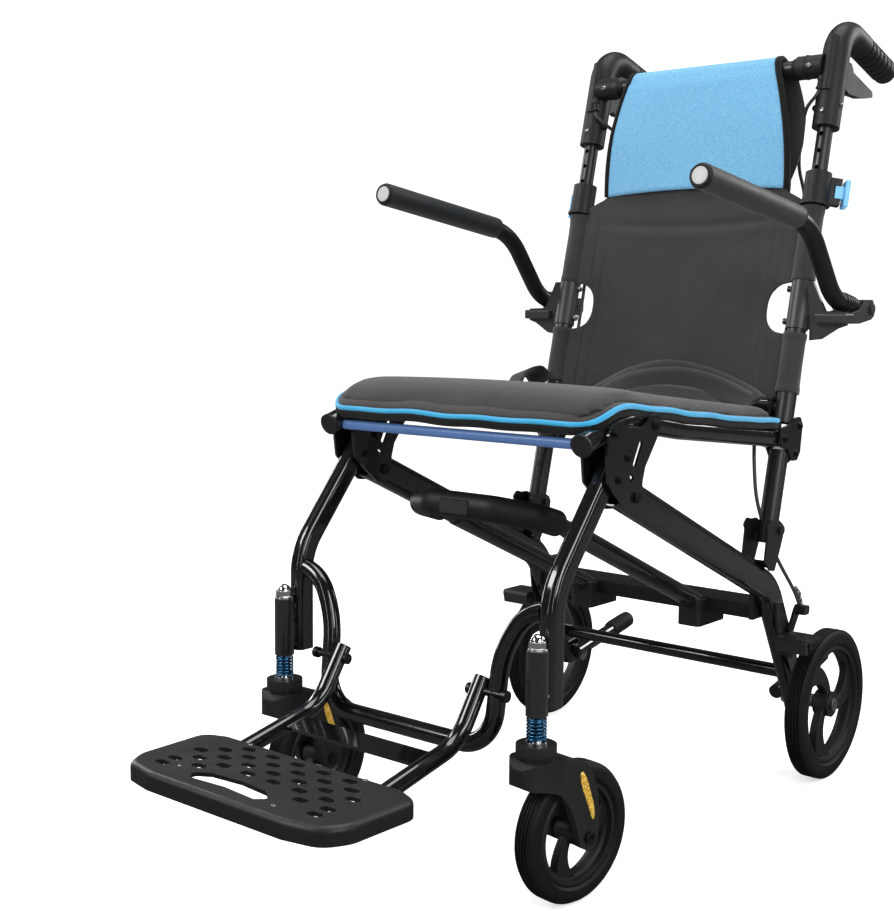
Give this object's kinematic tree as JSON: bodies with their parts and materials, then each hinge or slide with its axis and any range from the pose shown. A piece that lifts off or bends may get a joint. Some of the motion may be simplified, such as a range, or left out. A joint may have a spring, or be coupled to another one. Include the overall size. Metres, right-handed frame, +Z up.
{
  "type": "transport wheelchair",
  "caption": "Folding attendant-pushed transport wheelchair: tube frame, padded seat, sling back with mesh head panel, hand brakes, lifting armrests, hinged footrest, pull-out trolley handle.",
  "frame": {"origin": "middle of the footprint, on the floor", "axes": "+Z up, -Y is the way the user faces, +X is the user's left"},
  "size_m": [0.5072, 1.0872, 1.005],
  "materials": {
    "frame_black": "gloss black paint",
    "frame_satin": "satin black powder coat",
    "zinc": "zinc plated",
    "chrome": "polished",
    "spring_blue": "blue coated",
    "blue_bar": "satin blue anodised",
    "tyre": "matt",
    "plastic_black": "fine texture",
    "plastic_blue": "satin",
    "button_grey": "satin",
    "rubber_black": "ribbed matt",
    "foam_black": "closed cell foam, matt",
    "fabric_grey": "woven",
    "mesh_blue": "open spacer mesh",
    "webbing": "ribbed webbing"
  },
  "bodies": {
    "base_frame": {"main_frame": "frame_black", "rear_axles": "zinc", "post_brackets": "frame_satin", "trolley_outer_tubes": "frame_satin", "cross_tray": "plastic_black", "tipping_caps": "rubber_black", "brake_brackets": "frame_satin"},
    "trolley_handle": {"trolley_inner_tubes": "frame_satin", "trolley_grip": "plastic_black"},
    "trolley_release": {"trolley_button": "button_grey"},
    "left_brake": {"left_brake_shoe": "plastic_black"},
    "right_brake": {"right_brake_shoe": "plastic_black"},
    "left_rear_roller": {"left_rear_tyre": "tyre", "left_rear_wheel": "plastic_black"},
    "right_rear_roller": {"right_rear_tyre": "tyre", "right_rear_wheel": "plastic_black"},
    "front_frame": {"front_legs": "frame_black", "front_hoop": "frame_black", "leg_plates": "frame_black", "leg_plate_bolts": "zinc", "footrest_pivot_bolts": "zinc"},
    "footrest": {"footrest_frame": "frame_black", "footplate": "plastic_black"},
    "left_stem": {"left_caster_stem": "chrome", "left_caster_spring": "spring_blue"},
    "right_stem": {"right_caster_stem": "chrome", "right_caster_spring": "spring_blue"},
    "left_swivel_fork": {"left_caster_fork": "plastic_black", "left_caster_axle": "zinc"},
    "right_swivel_fork": {"right_caster_fork": "plastic_black", "right_caster_axle": "zinc"},
    "left_front_roller": {"left_caster_wheel": "plastic_black", "left_caster_tyre": "tyre"},
    "right_front_roller": {"right_caster_wheel": "plastic_black", "right_caster_tyre": "tyre"},
    "rear_post_frame": {"rear_posts": "frame_satin"},
    "seat_frame": {"seat_rails": "frame_black", "rail_end_caps": "plastic_black", "front_bar": "blue_bar", "rear_plates": "frame_satin", "rear_plate_rivets": "zinc", "seat_cushion": "fabric_grey"},
    "backrest": {"back_tubes": "frame_satin", "back_cross_bar": "frame_satin", "height_clamps": "plastic_black", "armrest_blocks": "frame_satin", "back_sling": "fabric_grey", "lap_belt": "webbing"},
    "push_frame": {"push_tubes": "frame_satin", "handle_heads": "plastic_black", "upper_cross_bar": "frame_satin", "head_panel": "mesh_blue"},
    "left_brake_grip": {"left_brake_lever": "plastic_black"},
    "right_brake_grip": {"right_brake_lever": "plastic_black"},
    "left_clamp": {"left_clamp_lever": "plastic_blue"},
    "right_clamp": {"right_clamp_lever": "plastic_blue"},
    "left_armrest": {"left_armrest_arm": "frame_satin", "left_armrest_foam": "foam_black"},
    "right_armrest": {"right_armrest_arm": "frame_satin", "right_armrest_foam": "foam_black"}
  },
  "joints": [
    {"name": "frame_fold", "type": "hinge", "parent": "base_frame", "child": "front_frame", "pos_m": [0, -0.1166, 0.4215], "axis": [1, 0, 0], "range_deg": [0, 60]},
    {"name": "post_fold", "type": "hinge", "parent": "base_frame", "child": "rear_post_frame", "pos_m": [0, 0.2279, 0.344], "axis": [1, 0, 0], "range_deg": [0, 48.08]},
    {"name": "seat_fold", "type": "hinge", "parent": "front_frame", "child": "seat_frame", "pos_m": [0, -0.0801, 0.498], "axis": [1, 0, 0], "range_deg": [-59.28, 0]},
    {"name": "back_fold", "type": "hinge", "parent": "seat_frame", "child": "backrest", "pos_m": [0, 0.2654, 0.497], "axis": [1, 0, 0], "range_deg": [0, 86], "deforming": ["lap_belt"]},
    {"name": "handle_height", "type": "slide", "parent": "backrest", "child": "push_frame", "axis": [0, -0.2348, -0.9721], "range_m": [0, 0.05], "deforming": ["head_panel"]},
    {"name": "footrest_lift", "type": "hinge", "parent": "front_frame", "child": "footrest", "pos_m": [0, -0.2621, 0.2205], "axis": [-1, 0, 0], "range_deg": [0, 90]},
    {"name": "trolley_extend", "type": "slide", "parent": "base_frame", "child": "trolley_handle", "axis": [0, -0.914, 0.4058], "range_m": [0, 0.25]},
    {"name": "trolley_button_press", "type": "slide", "parent": "trolley_handle", "child": "trolley_release", "axis": [0, 1, 0], "range_m": [0, 0.003], "stiffness_N_per_m": 1500},
    {"name": "left_suspension", "type": "slide", "parent": "front_frame", "child": "left_stem", "axis": [0, 0, 1], "range_m": [0, 0.01], "stiffness_N_per_m": 20000, "springref_m": -0.009, "deforming": ["left_caster_spring"]},
    {"name": "left_swivel", "type": "hinge", "parent": "left_stem", "child": "left_swivel_fork", "pos_m": [0.186, -0.2706, 0.17], "axis": [0, 0, 1], "continuous": true},
    {"name": "left_caster_spin", "type": "hinge", "parent": "left_swivel_fork", "child": "left_front_roller", "pos_m": [0.19365, -0.21613, 0.076], "axis": [0.9903, -0.1392, 0], "continuous": true},
    {"name": "right_suspension", "type": "slide", "parent": "front_frame", "child": "right_stem", "axis": [0, 0, 1], "range_m": [0, 0.01], "stiffness_N_per_m": 20000, "springref_m": -0.009, "deforming": ["right_caster_spring"]},
    {"name": "right_swivel", "type": "hinge", "parent": "right_stem", "child": "right_swivel_fork", "pos_m": [-0.186, -0.2706, 0.17], "axis": [0, 0, 1], "continuous": true},
    {"name": "right_caster_spin", "type": "hinge", "parent": "right_swivel_fork", "child": "right_front_roller", "pos_m": [-0.186, -0.2156, 0.076], "axis": [1, 0, 0], "continuous": true},
    {"name": "left_rear_spin", "type": "hinge", "parent": "base_frame", "child": "left_rear_roller", "pos_m": [0.225, 0.3294, 0.1], "axis": [1, 0, 0], "continuous": true},
    {"name": "right_rear_spin", "type": "hinge", "parent": "base_frame", "child": "right_rear_roller", "pos_m": [-0.225, 0.3294, 0.1], "axis": [1, 0, 0], "continuous": true},
    {"name": "left_armrest_lift", "type": "hinge", "parent": "backrest", "child": "left_armrest", "pos_m": [0.231, 0.3674, 0.625], "axis": [-1, 0, 0], "range_deg": [0, 95]},
    {"name": "right_armrest_lift", "type": "hinge", "parent": "backrest", "child": "right_armrest", "pos_m": [-0.231, 0.3674, 0.625], "axis": [-1, 0, 0], "range_deg": [0, 95]},
    {"name": "left_brake_pull", "type": "hinge", "parent": "push_frame", "child": "left_brake_grip", "pos_m": [0.184, 0.3974, 0.934], "axis": [1, 0, 0], "range_deg": [0, 12]},
    {"name": "left_brake_press", "type": "hinge", "parent": "base_frame", "child": "left_brake", "pos_m": [0.204, 0.2634, 0.19], "axis": [1, 0, 0], "range_deg": [0, 1.6]},
    {"name": "right_brake_pull", "type": "hinge", "parent": "push_frame", "child": "right_brake_grip", "pos_m": [-0.184, 0.3974, 0.934], "axis": [1, 0, 0], "range_deg": [0, 12]},
    {"name": "right_brake_press", "type": "hinge", "parent": "base_frame", "child": "right_brake", "pos_m": [-0.204, 0.2634, 0.19], "axis": [1, 0, 0], "range_deg": [0, 1.6]},
    {"name": "left_clamp_release", "type": "hinge", "parent": "backrest", "child": "left_clamp", "pos_m": [0.20507, 0.3508, 0.77524], "axis": [0, 0.2348, 0.9721], "range_deg": [0, 90]},
    {"name": "right_clamp_release", "type": "hinge", "parent": "backrest", "child": "right_clamp", "pos_m": [-0.20507, 0.3508, 0.77524], "axis": [0, -0.2348, -0.9721], "range_deg": [0, 90]}
  ],
  "couplings": [
    {"joint": "post_fold", "follows": "frame_fold", "ratio": 0.801},
    {"joint": "seat_fold", "follows": "frame_fold", "ratio": -0.9876},
    {"joint": "left_brake_press", "follows": "left_brake_pull", "ratio": 0.125},
    {"joint": "right_brake_press", "follows": "right_brake_pull", "ratio": 0.125}
  ]
}
